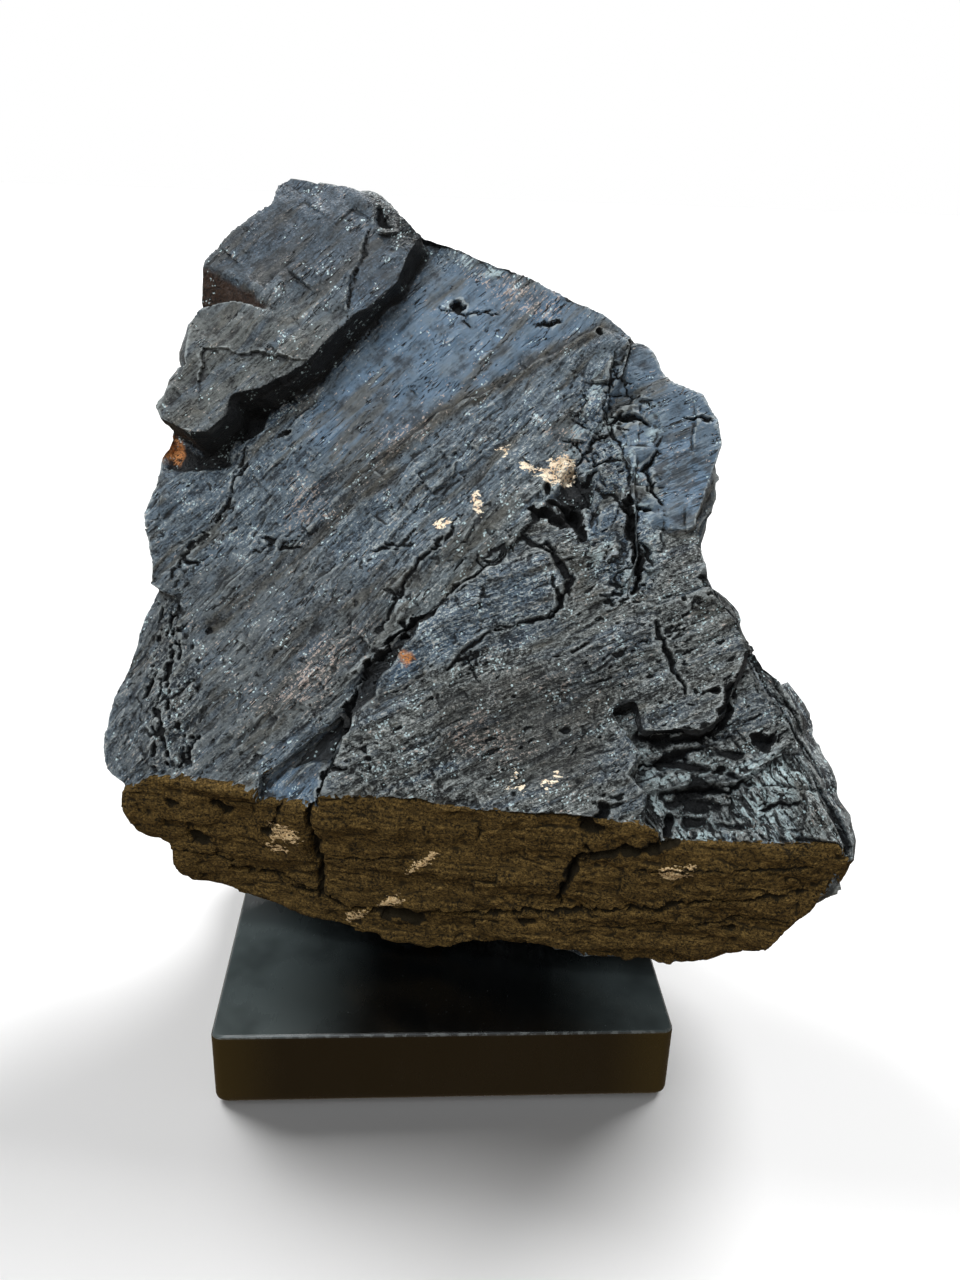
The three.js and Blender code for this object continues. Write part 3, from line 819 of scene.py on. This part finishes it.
def carve(points, normals, links):
    """Moves the points of the plain stone to its carved surface. Returns them and their marks."""
    height_on_end = points @ OUT_OF_END
    on_end = ease(height_on_end, -2.2, -0.9) * ease(normals @ OUT_OF_END, 0.4, 0.7)
    on_face = ease(normals[:, 2], 0.45, 0.7) * (1 - on_end)
    on_block = on_face * ease(points[:, 2], 4.0, 6.0)
    on_broken = 1 - on_face - on_end
    parts = [
        (on_face - on_block, OUTWARD, carve_slab),
        (on_block, OUTWARD, carve_block),
        (on_end, OUT_OF_END, carve_end),
        (on_broken, None, carve_broken),
    ]
    marks = {name: np.zeros(len(points)) for name in MARKS}
    shift = np.zeros(points.shape)
    # The broken sides are calmer beside the other parts, so that the stone's outline stays near the CAD's.
    inner = ease(spread(on_broken, links, 24), 0.55, 1.0)
    for share, direction, carve_part in parts:
        chosen = np.nonzero(share > 0.001)[0]
        local = {name: np.full(len(chosen), start) for name, start in MARKS.items()}
        if direction is None:
            lift = carve_part(points[chosen], normals[chosen], local) * (0.12 + 0.88 * inner[chosen])
            direction = normals[chosen]
        else:
            lift = carve_part(points[chosen], local)
        weight = share[chosen]
        shift[chosen] += (weight * lift)[:, None] * direction
        for name in MARKS:
            marks[name][chosen] += weight * local[name]
    mark_places(points, marks)
    height = points @ FACE_AXES[:, 2] + CREASE_MIDDLE[2] - STAND_TOP
    # The seat on the stand stays flat.
    free = ease(height, 0.6, 6.0)[:, None]
    shift += wobble(points, 13, 0.9, 111) + wobble(points, 5, 0.45, 114) + bite_outline(points)
    return points + free * shift, marks


def mesh_vectors(items, name):
    flat = np.empty(len(items) * 3, np.float32)
    items.foreach_get(name, flat)
    return flat.reshape(-1, 3).astype(float)


def mesh_indices(items, name, each=1):
    flat = np.empty(len(items) * each, np.int32)
    items.foreach_get(name, flat)
    return flat


def applied(piece):
    """The mesh of an object after its modifiers. The object is removed."""
    evaluated = piece.evaluated_get(bpy.context.evaluated_depsgraph_get())
    mesh = bpy.data.meshes.new_from_object(evaluated)
    bpy.data.objects.remove(piece)
    return mesh


def new_object(name, mesh):
    piece = bpy.data.objects.new(name, mesh)
    bpy.context.scene.collection.objects.link(piece)
    return piece


def hollowness(points, normals, links):
    """How hollow the surface is at each vertex, from about -1 on sharp edges to 1 in deep cracks."""
    total = np.zeros(len(points))
    for rounds in (2, 7):
        around = np.stack([spread(points[:, axis], links, rounds) for axis in range(3)], 1)
        total += ((around - points) * normals).sum(1) / rounds**0.5
    return np.clip(total * 2.2, -1, 1)


def thin_out(mesh, chosen, triangles):
    """Collapses edges among the chosen vertices until the whole mesh has that many triangles."""
    piece = new_object("thinning", mesh)
    group = piece.vertex_groups.new(name="chosen")
    group.add([int(i) for i in chosen], 1.0, "REPLACE")
    collapse = piece.modifiers.new("collapse", "DECIMATE")
    mesh.calc_loop_triangles()
    collapse.ratio = triangles / len(mesh.loop_triangles)
    collapse.vertex_group = group.name
    return applied(piece)


def fine_copy(name):
    """A fine and even mesh of a CAD solid."""
    plain = new_object("plain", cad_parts[name].data.copy())
    remesh = plain.modifiers.new("remesh", "REMESH")
    remesh.mode = "VOXEL"
    remesh.voxel_size = VOXEL * MM
    return applied(plain)


def fewer_triangles(mesh, normals):
    """Thins the mesh out, first where the stone faces away from the front and then all over."""
    facing = np.maximum(normals[:, 2], normals @ OUT_OF_END)
    back = np.nonzero(facing < BACK_FACING)[0]
    mesh.calc_loop_triangles()
    share_of_back = len(back) / len(normals)
    front_now = (1 - share_of_back) * len(mesh.loop_triangles)
    mesh = thin_out(mesh, back, int(front_now + TRIANGLES - FRONT_TRIANGLES))
    return thin_out(mesh, range(len(mesh.vertices)), TRIANGLES)


def nearest_of(places, points):
    """For each point, the index of the nearest place."""
    tree = kdtree.KDTree(len(places))
    for index, place in enumerate(places):
        tree.insert(place, index)
    tree.balance()
    return np.array([tree.find(point)[1] for point in points])


def write_marks(mesh, marks):
    """Writes the marks and the direction of the grain to the mesh, where the materials read them."""
    for name, values in marks.items():
        layer = mesh.attributes.new(name, "FLOAT", "POINT")
        layer.data.foreach_set("value", values.astype(np.float32))
    grain, _ = flow(to_face(mesh_vectors(mesh.vertices, "co")))
    layer = mesh.attributes.new("flow", "FLOAT_VECTOR", "POINT")
    layer.data.foreach_set("vector", grain.astype(np.float32).ravel())


def give_materials(mesh, warm_lit_end):
    """Gives each triangle black tourmaline, or the brown of the lower end, which is painted warm light, where
    its first corner is marked for it.
    """
    mesh.materials.clear()
    mesh.materials.append(stone_material())
    mesh.materials.append(warm_lit_end_material())
    corners = mesh_indices(mesh.loops, "vertex_index")
    starts = mesh_indices(mesh.polygons, "loop_start")
    warm_lit_triangles = warm_lit_end[corners[starts]] > 0.5
    mesh.polygons.foreach_set("material_index", warm_lit_triangles.astype(np.int32))


def make_stone():
    mesh = fine_copy("tourmaline")
    base = to_face(mesh_vectors(mesh.vertices, "co"))
    normals = mesh_vectors(mesh.vertex_normals, "vector") @ FACE_AXES.T
    links = mesh_indices(mesh.edges, "vertices", 2).reshape(-1, 2)
    points, marks = carve(base, normals, links)
    placed = from_face(points)
    placed[:, 2] = np.maximum(placed[:, 2], STAND_TOP * MM)
    mesh.vertices.foreach_set("co", placed.astype(np.float32).ravel())
    mesh.update()
    carved_normals = mesh_vectors(mesh.vertex_normals, "vector") @ FACE_AXES.T
    marks["hollow"] = hollowness(points, carved_normals, links)

    mesh = fewer_triangles(mesh, normals)
    nearest = nearest_of(placed, mesh_vectors(mesh.vertices, "co"))
    marks = {name: values[nearest] for name, values in marks.items()}
    write_marks(mesh, marks)
    give_materials(mesh, marks["warm_lit_end"])
    mesh.shade_smooth()
    mesh.set_sharp_from_angle(angle=STONE_SHARP_ANGLE)
    return new_object("tourmaline_stone", mesh)


# ---- Materials ----


class Graph:
    """Builds the nodes of a material or of the world."""

    def __init__(self, owner, shader="Principled BSDF"):
        owner.use_nodes = True
        self.owner = owner
        self.nodes = owner.node_tree.nodes
        self.links = owner.node_tree.links
        self.shader = self.nodes[shader]

    def put(self, socket, value):
        if isinstance(value, bpy.types.NodeSocket):
            self.links.new(value, socket)
        elif value is not None:
            socket.default_value = value

    def node(self, kind, settings=None, **inputs):
        made = self.nodes.new(kind)
        for name, value in (settings or {}).items():
            setattr(made, name, value)
        for name, value in inputs.items():
            self.put(made.inputs[name.replace("_", " ")], value)
        return made

    def wired(self, kind, settings, values):
        """The first output of a new node whose first sockets take the values, in order."""
        made = self.node(kind, settings)
        for socket, value in zip(made.inputs, values):
            self.put(socket, value)
        return made.outputs[0]

    def math(self, operation, *values):
        return self.wired("ShaderNodeMath", {"operation": operation}, values)

    def vector(self, operation, *values):
        return self.wired("ShaderNodeVectorMath", {"operation": operation}, values)

    def times(self, first, second):
        return self.math("MULTIPLY", first, second)

    def total(self, *parts):
        """The sum of values, each times its own number."""
        result = 0.0
        for value, factor in parts:
            result = self.math("MULTIPLY_ADD", value, factor, result)
        return result

    def ramp(self, value, low, high, start=0.0, stop=1.0):
        """Eases from start to stop as the value goes from low to high."""
        values = (value, low, high, start, stop)
        return self.wired("ShaderNodeMapRange", {"interpolation_type": "SMOOTHSTEP"}, values)

    def mix(self, share, first, second):
        made = self.node("ShaderNodeMix", {"data_type": "RGBA"})
        for name, value in (("Factor", share), (6, first), (7, second)):
            self.put(made.inputs[name], value)
        return made.outputs[2]

    def attribute(self, name, output="Fac"):
        return self.node("ShaderNodeAttribute", {"attribute_name": name}).outputs[output]

    def axis(self, vector, name):
        return self.node("ShaderNodeSeparateXYZ", Vector=vector).outputs[name]

    def scaled(self, vector, scale):
        return self.node("ShaderNodeMapping", Vector=vector, Scale=scale).outputs[0]

    def millimetres(self):
        """The place on the object, in millimetres."""
        return self.scaled(self.node("ShaderNodeTexCoord").outputs["Object"], (1000, 1000, 1000))

    def noise(self, vector, scale, detail, roughness):
        made = self.node("ShaderNodeTexNoise", Vector=vector, Scale=scale, Detail=detail, Roughness=roughness)
        return made.outputs["Fac"]

    def streaks(self, vector, along, across, detail, roughness):
        """Noise with one scale along the first axis and one across it."""
        return self.noise(self.scaled(vector, (along, across, across)), 1.0, detail, roughness)

    def flakes(self, place):
        return self.streaks(place, 0.30, 0.75, 2, 0.7)

    def hairlines(self, streaks, patches, wide, narrow):
        """Thin lines where the streaks are near their middle, in some of the patches only."""
        lines = self.ramp(self.math("ABSOLUTE", self.math("SUBTRACT", streaks, 0.5)), wide, narrow)
        return self.times(lines, self.ramp(patches, 0.48, 0.56))

    # Painted shade: how far the hollows are darkened.
    def painted_shade_in_hollows(self, hollow, specks):
        return self.ramp(self.total((hollow, 1.0), (specks, 0.8)), 0.5, 0.95, 0.0, 0.9)

    def cream(self, mark, flakes, specks, least):
        """Where cream flakes cover the surface: ragged at the edge of a patch and broken up inside it."""
        patch = self.ramp(self.total((mark, 1.0), (flakes, 7.0), (specks, 3.0), (1.0, -5.0)), -0.15, 0.15)
        return self.times(patch, self.ramp(self.total((flakes, 0.6), (specks, 0.4)), least, 0.49))

    def cells(self, vector, scale):
        return self.node("ShaderNodeTexVoronoi", Vector=vector, Scale=scale).outputs["Color"]

    def tilted(self, normal, random_colour, amount):
        """Tilts the surface at random, the same way all over one crystal."""
        centred = self.vector("SUBTRACT", random_colour, (0.5, 0.5, 0.5))
        shift = self.node("ShaderNodeVectorMath", {"operation": "SCALE"}, Scale=amount)
        self.put(shift.inputs[0], centred)
        return self.vector("NORMALIZE", self.vector("ADD", normal, shift.outputs[0]))

    def bump(self, height, distance, normal=None):
        return self.node("ShaderNodeBump", Height=height, Distance=distance, Normal=normal).outputs[0]

    def surface(self, **inputs):
        """Sets the shader's sockets, and gives back what the nodes belong to."""
        for name, value in inputs.items():
            self.put(self.shader.inputs[name.replace("_", " ")], value)
        return self.owner


def material_graph(name):
    return Graph(bpy.data.materials.new(name))


def colour(red, green, blue):
    return (red, green, blue, 1.0)


BLACK = colour(0.0015, 0.0018, 0.002)
COAL = colour(0.010, 0.011, 0.012)
SLATE = colour(0.112, 0.128, 0.130)
PALE = colour(0.44, 0.47, 0.46)
NAVY = colour(0.022, 0.038, 0.058)
STEEL = colour(0.078, 0.134, 0.202)
UMBER = colour(0.010, 0.008, 0.004)
DUSK = colour(0.062, 0.054, 0.038)
PINK = colour(0.42, 0.33, 0.28)
ICE = colour(0.60, 0.74, 0.75)
CREAM = colour(0.80, 0.53, 0.32)
IVORY = colour(0.94, 0.80, 0.60)
RUST = colour(0.70, 0.28, 0.09)
TAN = colour(0.46, 0.28, 0.12)
SAND = colour(0.74, 0.54, 0.30)
MUD = colour(0.012, 0.008, 0.0025)
# The browns of the lower end: painted warm light.
WARM_LIT_DARK_BROWN = colour(0.080, 0.047, 0.012)
WARM_LIT_BROWN = colour(0.19, 0.115, 0.034)
# The paint's sides are brown, lighter at the ends of the front: painted warm reflection.
SIDE_WARM_REFLECTION = colour(0.0085, 0.0048, 0.0008)
SIDE_END_WARM_REFLECTION = colour(0.026, 0.016, 0.003)
PAINTED_TOP = colour(0.0008, 0.0011, 0.0012)
# Painted sheen on the stand's top.
SHEEN_ON_TOP = colour(0.075, 0.090, 0.088)
DUST = colour(0.10, 0.11, 0.11)
WORN_PAINT = colour(0.060, 0.062, 0.058)
FLOOR_WHITE = colour(0.86, 0.86, 0.86)
WHITE = colour(1.0, 1.0, 1.0)
BROWN_LIGHT = colour(1.0, 0.72, 0.42)


def stone_base(g, marks, t, grit):
    """The stone's tone, and its colour from black to pale with the blue and the brown bands. The noises are
    in t."""
    broad = g.total((t["streaks"], 0.9), (t["patches"], 0.9), (1.0, -0.9))
    tone = g.total((grit, 1.0), (broad, 1.0), (marks["grain"], 0.05), (1.0, 0.5))
    light = g.ramp(tone, 0.26, 0.52)
    lightest = g.ramp(g.total((grit, 1.0), (broad, 0.5), (marks["grain"], 0.05), (1.0, 0.5)), 0.54, 0.84)
    base = g.mix(lightest, g.mix(light, COAL, SLATE), PALE)
    # The blue is partly the stone's bluish grey and partly painted cool sheen.
    blue = g.math("MAXIMUM", marks["blue"], g.ramp(t["bands"], 0.50, 0.60, 0.0, 0.55))
    blue = g.times(blue, g.ramp(t["patches"], 0.3, 0.6, 0.45, 1.0))
    base = g.mix(blue, base, g.mix(lightest, g.mix(g.ramp(tone, 0.16, 0.50), NAVY, STEEL), PALE))
    brown = g.math("MAXIMUM", marks["brown"], g.ramp(t["bands"], 0.48, 0.38, 0.0, 0.75))
    brown = g.times(brown, g.ramp(t["streaks"], 0.35, 0.55, 0.5, 1.0))
    return tone, g.mix(brown, base, g.mix(light, UMBER, DUSK))


def stone_details(g, marks, t, base):
    """What lies over the tones: columns, pale crystal, pink flecks, painted shade in hollows, painted
    highlight on sharp edges, the dark mark, cream, rust.
    """
    specks, dashes, flakes, hollow = t["specks"], t["dashes"], t["flakes"], g.attribute("hollow")
    base = g.mix(g.times(marks["gloss"], g.ramp(t["columns"], 0.51, 0.44, 0.0, 0.85)), base, COAL)
    stripes = g.times(g.ramp(t["columns"], 0.47, 0.55), 0.9)
    base = g.mix(g.times(marks["pale"], stripes), base, g.mix(g.ramp(specks, 0.3, 0.55), PALE, ICE))
    flecks = g.total((dashes, 1.2), (specks, 0.8), (t["patches"], 0.35), (marks["warm"], 0.16))
    base = g.mix(g.ramp(flecks, 1.39, 1.48, 0.0, 0.85), base, PINK)
    # Painted shade: the hollows go black.
    base = g.mix(g.painted_shade_in_hollows(hollow, specks), base, BLACK)
    # Painted highlight: sharp edges go pale.
    base = g.mix(g.ramp(g.total((hollow, 1.0), (dashes, 0.8)), 0.1, -0.3, 0.0, 0.4), base, PALE)
    # The dark mark, much of it painted shade, goes towards coal.
    base = g.mix(g.ramp(g.total((marks["dark"], 1.5), (specks, -1.0)), -0.2, 0.9), base, COAL)
    cream = g.cream(marks["cream"], flakes, specks, 0.455)
    base = g.mix(cream, base, g.mix(g.ramp(flakes, 0.42, 0.6), CREAM, IVORY))
    return g.mix(g.times(marks["rust"], g.ramp(specks, 0.36, 0.5, 0.3, 1.0)), base, RUST)


def stone_material():
    """Black tourmaline: fine crystals along the grain, with cracks and glints."""
    g = material_graph("black_tourmaline")
    grain_place = g.attribute("flow", "Vector")
    place = g.millimetres()
    marks = {name: g.attribute(name) for name in MARKS}
    t = {
        "specks": g.noise(place, 1.1, 1.5, 0.9),
        "dashes": g.streaks(grain_place, 0.32, 1.3, 2.5, 0.75),
        "streaks": g.streaks(grain_place, 0.035, 0.36, 3, 0.6),
        "patches": g.noise(place, 0.14, 3, 0.6),
        "columns": g.streaks(grain_place, 0.11, 0.60, 2, 0.6),
        "bands": g.streaks(grain_place, 0.022, 0.13, 3, 0.6),
        "flakes": g.flakes(place),
    }
    crystals = g.cells(g.scaled(grain_place, (0.6, 1.2, 1.2)), 1.0)
    tiny_crystals = g.cells(place, 1.7)
    random_level = g.node("ShaderNodeSeparateColor", Color=tiny_crystals).outputs

    contrast = g.total((marks["grain"], 1.15), (1.0, 0.08))
    fine = g.total((t["specks"], 1.3), (t["dashes"], 1.5), (random_level[0], 0.16), (1.0, -1.48))
    grit = g.times(fine, contrast)
    tone, base = stone_base(g, marks, t, grit)
    base = stone_details(g, marks, t, base)

    ragged = g.total((t["specks"], 2.4), (t["dashes"], 1.6), (1.0, -2.0))
    open_cracks = g.ramp(g.total((marks["crack"], 1.0), (ragged, 0.8)), -0.3, 0.0)
    crack = g.math("MAXIMUM", g.hairlines(t["streaks"], t["patches"], 0.014, 0.005), open_cracks)
    base = g.mix(crack, base, BLACK)
    # Painted glints: clustered specks go ice-coloured and a little smoother, a painted highlight.
    clusters = g.total((random_level[1], 1.0), (marks["grain"], 0.09), (t["patches"], 0.8))
    glints = g.times(g.ramp(clusters, 1.455, 1.465), g.ramp(crack, 0.5, 0.0))
    base = g.mix(g.times(glints, 0.7), base, ICE)
    rough = g.total((tone, -0.35), (marks["gloss"], -0.08), (crack, 0.3), (glints, -0.2), (1.0, 0.68))

    tilt = g.total((marks["grain"], 0.55), (1.0, 0.05))
    normal = g.tilted(g.node("ShaderNodeNewGeometry").outputs["Normal"], crystals, tilt)
    normal = g.tilted(normal, tiny_crystals, g.times(tilt, 0.9))
    relief = g.total((t["streaks"], 0.6), (grit, 0.6), (crack, -0.8))
    normal = g.bump(relief, 1.4 * MM, normal)
    return g.surface(Base_Color=base, Roughness=rough, Normal=normal, Specular_IOR_Level=0.4)


def warm_lit_end_material():
    """The lower end: a brown that is painted warm light falling on it, speckled, with faint layers and cream
    flakes.
    """
    g = material_graph("brown_end_painted_warm_light")
    place = g.millimetres()
    specks = g.noise(place, 1.1, 2, 0.9)
    layers = g.noise(g.scaled(place, (0.16, 0.4, 0.75)), 1.0, 3, 0.7)
    flakes = g.flakes(place)
    patches = g.noise(place, 0.15, 3, 0.6)
    tone = g.total((specks, 1.3), (layers, 0.4), (patches, 0.5), (1.0, -0.6))
    base = g.mix(g.ramp(tone, 0.28, 0.5), MUD, WARM_LIT_DARK_BROWN)
    base = g.mix(g.ramp(tone, 0.48, 0.78), base, WARM_LIT_BROWN)
    # Painted shade: the hollows go dark.
    base = g.mix(g.painted_shade_in_hollows(g.attribute("hollow"), specks), base, MUD)
    cream = g.cream(g.attribute("cream"), flakes, specks, 0.44)
    base = g.mix(cream, base, g.mix(g.ramp(specks, 0.35, 0.65), TAN, SAND))
    open_cracks = g.ramp(g.total((g.attribute("crack"), 1.0), (specks, 3.0), (1.0, -1.5)), -0.3, 0.0)
    crack = g.math("MAXIMUM", g.hairlines(layers, patches, 0.012, 0.004), open_cracks)
    base = g.mix(crack, base, MUD)
    relief = g.total((layers, 0.25), (specks, 1.0), (crack, -0.8))
    normal = g.bump(relief, 1.2 * MM)
    return g.surface(Base_Color=base, Roughness=0.85, Normal=normal, Specular_IOR_Level=0.15)


def paint_material():
    """Black paint on wood: sides browned by painted warm reflection, painted sheen at both sides of the top,
    and a worn rim.
    """
    g = material_graph("black_paint_on_wood")
    place = g.millimetres()
    normal = g.node("ShaderNodeTexCoord").outputs["Normal"]
    upness = g.axis(normal, "Z")
    across = g.axis(place, "X")
    cloudy = g.noise(place, 0.03, 3, 0.6)
    brushed = g.streaks(place, 0.25, 0.06, 3, 0.6)
    top = g.ramp(upness, 0.3, 0.9)
    # Painted warm reflection: the sides are brown, lighter towards the ends; the top stays black.
    side = g.mix(g.ramp(g.math("ABSOLUTE", across), 50, 75), SIDE_WARM_REFLECTION, SIDE_END_WARM_REFLECTION)
    base = g.mix(top, side, PAINTED_TOP)
    # Painted sheen: the top is lighter towards both sides, in clouds.
    top_sheen = g.math("MAXIMUM", g.ramp(across, -18, -80), g.ramp(across, 30, 85, 0.0, 0.6))
    top_sheen = g.times(g.times(top_sheen, top), g.ramp(cloudy, 0.3, 0.6, 0.5, 1.0))
    base = g.mix(top_sheen, base, SHEEN_ON_TOP)
    dust = g.ramp(g.noise(place, 0.9, 2, 0.5), 0.74, 0.78)
    base = g.mix(g.times(dust, 0.35), base, DUST)
    rim = g.times(g.ramp(upness, 0.25, 0.5), g.ramp(upness, 0.985, 0.9))
    worn = g.times(rim, g.ramp(g.noise(place, 0.3, 3, 0.7), 0.48, 0.6, 0.05, 1.0))
    base = g.mix(worn, base, WORN_PAINT)
    rough = g.ramp(g.total((cloudy, 0.7), (brushed, 0.3)), 0.3, 0.7, 0.2, 0.32)
    normal = g.bump(g.total((brushed, 0.2), (cloudy, 1.5)), 0.25 * MM)
    return g.surface(Base_Color=base, Roughness=rough, Normal=normal)


def floor_material():
    return material_graph("pale_floor").surface(Base_Color=FLOOR_WHITE, Roughness=0.9)


# ---- The scene ----

FLOOR_REACH = 60.0

# How the world's strength goes with the height of the direction: from, to, and the strength at each.
FADE_OVERHEAD = (0.18, 0.52, 1.0, 0.11)
FADE_BELOW = (-0.12, -0.02, 0.15, 1.0)


def make_camera():
    looking = Vector((
        math.sin(CAMERA_YAW) * math.cos(CAMERA_PITCH),
        math.cos(CAMERA_YAW) * math.cos(CAMERA_PITCH),
        -math.sin(CAMERA_PITCH),
    ))
    level_right = Vector((math.cos(CAMERA_YAW), -math.sin(CAMERA_YAW), 0.0))
    level_up = level_right.cross(looking)
    right = level_right * math.cos(CAMERA_ROLL) + level_up * math.sin(CAMERA_ROLL)
    up = level_up * math.cos(CAMERA_ROLL) - level_right * math.sin(CAMERA_ROLL)
    camera = bpy.data.objects.new("camera", bpy.data.cameras.new("camera"))
    camera.data.sensor_width = SENSOR
    camera.data.lens = SENSOR * FOCAL_PIXELS / IMAGE_HEIGHT
    turn = Matrix((right, up, -looking)).transposed().to_4x4()
    camera.matrix_world = Matrix.Translation(Vector(CAMERA_PLACE) * MM) @ turn
    bpy.context.scene.collection.objects.link(camera)
    bpy.context.scene.camera = camera


def soft_sun(name, toward, degrees_wide, strength, tint):
    """A studio light far away."""
    light = bpy.data.lights.new(name, "SUN")
    light.angle = math.radians(degrees_wide)
    light.energy = strength
    light.color = tint
    lamp = bpy.data.objects.new(name, light)
    lamp.rotation_euler = Vector(toward).to_track_quat("Z", "Y").to_euler()
    bpy.context.scene.collection.objects.link(lamp)
    return lamp


def make_world():
    """White round the horizon, darker overhead, and brown and dark below."""
    g = Graph(bpy.data.worlds.new("studio"), "Background")
    upness = g.axis(g.node("ShaderNodeTexCoord").outputs["Generated"], "Z")
    above = g.ramp(upness, *FADE_OVERHEAD)
    below = g.ramp(upness, *FADE_BELOW)
    tint = g.mix(below, BROWN_LIGHT, WHITE)
    bpy.context.scene.world = g.surface(Color=tint, Strength=g.times(above, below))


def light_only(lamps, name, floor, state):
    """Keeps the lamps off the floor, or off everything else."""
    lit = bpy.data.collections.new(name)
    lit.objects.link(floor)
    lit.collection_objects[0].light_linking.link_state = state
    for lamp in lamps:
        lamp.light_linking.receiver_collection = lit


def make_light(floor):
    """The floor has two suns of its own, from behind on either side, so that their shadows cross in front."""
    make_world()
    light_only([
        soft_sun("sheen", (-0.26, -0.58, 0.775), 38, 2.2, (0.86, 0.94, 1.0)),
        soft_sun("sparkle", (-0.45, -0.35, 0.82), 7, 0.8, (0.95, 0.98, 1.0)),
        soft_sun("overhead", (0.12, 0.50, 0.86), 44, 4.3, (1.0, 1.0, 1.0)),
    ], "not_the_floor", floor, "EXCLUDE")
    light_only([
        soft_sun("back_left", (-0.54, 0.57, 0.62), 34, 2.8, (1.0, 1.0, 1.0)),
        soft_sun("back_right", (0.54, 0.57, 0.62), 34, 4.4, (1.0, 1.0, 1.0)),
    ], "only_the_floor", floor, "INCLUDE")


def make_floor():
    low, high = -FLOOR_REACH, FLOOR_REACH
    corners = [(low, low, 0), (high, low, 0), (high, high, 0), (low, high, 0)]
    mesh = bpy.data.meshes.new("floor")
    mesh.from_pydata(corners, [], [(0, 1, 2, 3)])
    floor = new_object("floor", mesh)
    mesh.materials.append(floor_material())
    floor.visible_diffuse = False
    floor.visible_glossy = False
    return floor


make_camera()
make_light(make_floor())

stone = make_stone()
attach(stone, "root")
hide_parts("tourmaline")

stand = new_object("painted_stand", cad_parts["stand_block"].data.copy())
stand.data.materials.clear()
stand.data.materials.append(paint_material())
stand.data.shade_smooth()
stand.data.set_sharp_from_angle(angle=STAND_SHARP_ANGLE)
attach(stand, "root")
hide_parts("stand_block")

bpy.context.scene.view_settings.view_transform = "Standard"
